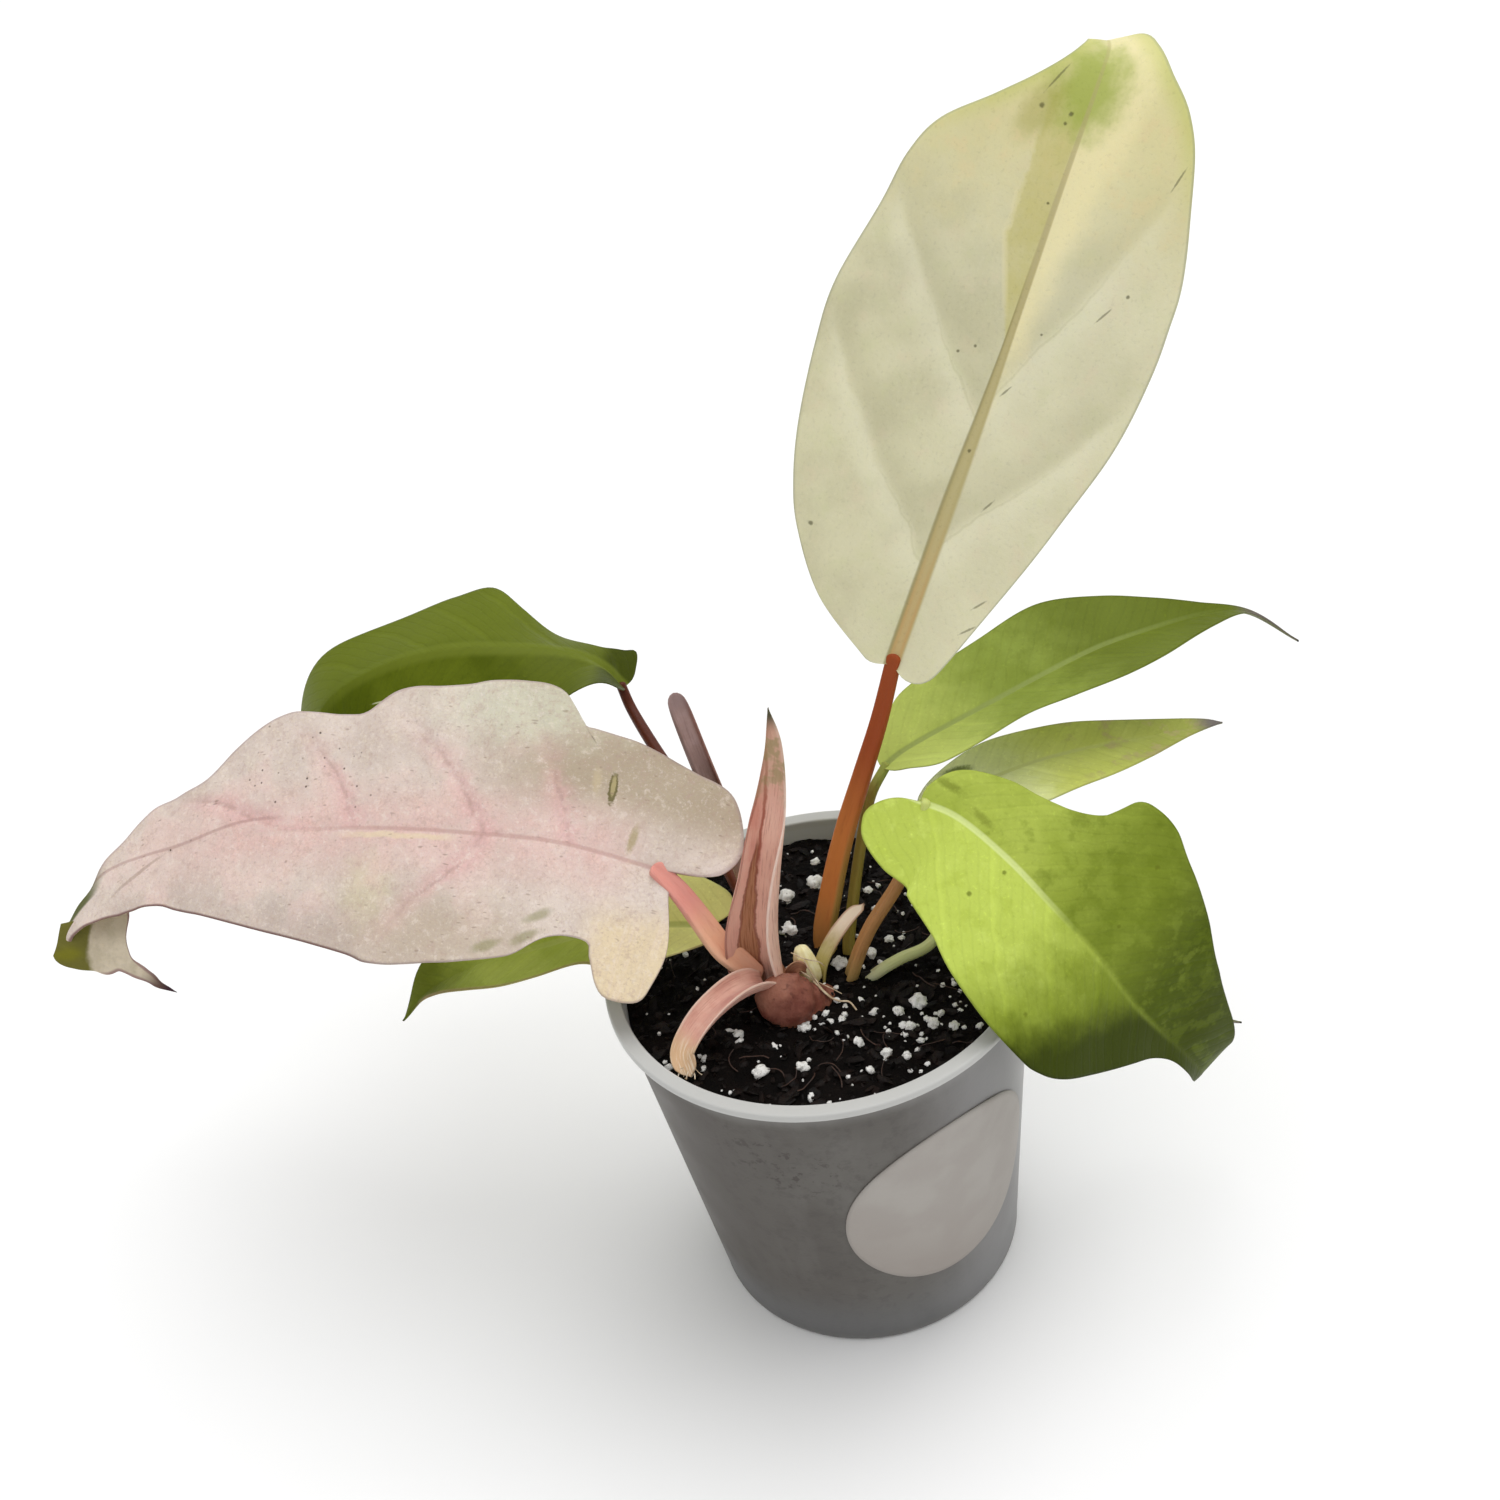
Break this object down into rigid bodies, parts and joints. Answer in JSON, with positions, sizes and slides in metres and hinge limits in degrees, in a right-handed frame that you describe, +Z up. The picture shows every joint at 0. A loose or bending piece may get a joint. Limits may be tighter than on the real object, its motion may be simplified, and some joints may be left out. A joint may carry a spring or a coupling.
{
  "type": "potted snowdrift philodendron",
  "caption": "Young variegated foliage plant with cream, pink and green leaves on slim stalks, standing in potting mix in a small round translucent nursery pot.",
  "frame": {"origin": "middle of the underside of the pot's base, on the surface the pot stands on", "axes": "+Z up along the pot's axis; -Y is the front, where the pot's label and the upright leaf's upper face look; +X is the side of the broad hanging leaf"},
  "size_m": [0.297, 0.1477, 0.2486],
  "materials": {
    "leaf_cream": "cream-white leaf with an olive midrib, satin",
    "leaf_pink": "pink-beige leaf with mauve side veins and green flecks, satin",
    "leaf_dark": "mid green leaf with a paler midrib, semi-gloss",
    "leaf_low": "yellow-green leaf, semi-gloss",
    "leaf_lance": "green to yellow-green leaf, semi-gloss",
    "leaf_slim": "yellow-green leaf, semi-gloss",
    "leaf_broad": "bright yellow-green leaf with a darker far half, semi-gloss",
    "stalk_red": "orange-red leaf stalk, satin",
    "stalk_pink": "salmon leaf stalk, satin",
    "stalk_dark": "dark red-brown leaf stalk, satin",
    "stalk_olive": "olive-brown leaf stalk, satin",
    "stalk_green": "pale green leaf stalk, satin",
    "sheath_pink": "pink sheath with a tan fold, dry satin",
    "sheath_brown": "mauve-brown sheath, satin",
    "sheath_dry": "dried straw-coloured sheath, matt",
    "stem_pink": "pink swollen stem base, satin",
    "bud_pale": "pale yellow bud, satin",
    "soil": "near-black potting mix with white perlite grains, rough",
    "pot_plastic": "frosted grey translucent plastic, paler rim",
    "label_paper": "plain pale grey paper, matt"
  },
  "bodies": {
    "root": {"pot": "pot_plastic", "label": "label_paper", "soil": "soil", "stem": "stem_pink", "bud": "bud_pale", "blade_cream": "leaf_cream", "blade_pink": "leaf_pink", "blade_dark": "leaf_dark", "blade_low": "leaf_low", "blade_lance": "leaf_lance", "blade_slim": "leaf_slim", "blade_broad": "leaf_broad", "stalk_cream": "stalk_red", "stalk_pink": "stalk_pink", "stalk_dark": "stalk_dark", "stalk_low": "stalk_green", "stalk_lance": "stalk_olive", "stalk_slim": "stalk_green", "stalk_broad": "stalk_olive", "sheath_tall": "sheath_pink", "sheath_drooping": "sheath_pink", "sheath_back": "sheath_brown", "sheath_dried": "sheath_dry"}
  },
  "joints": []
}
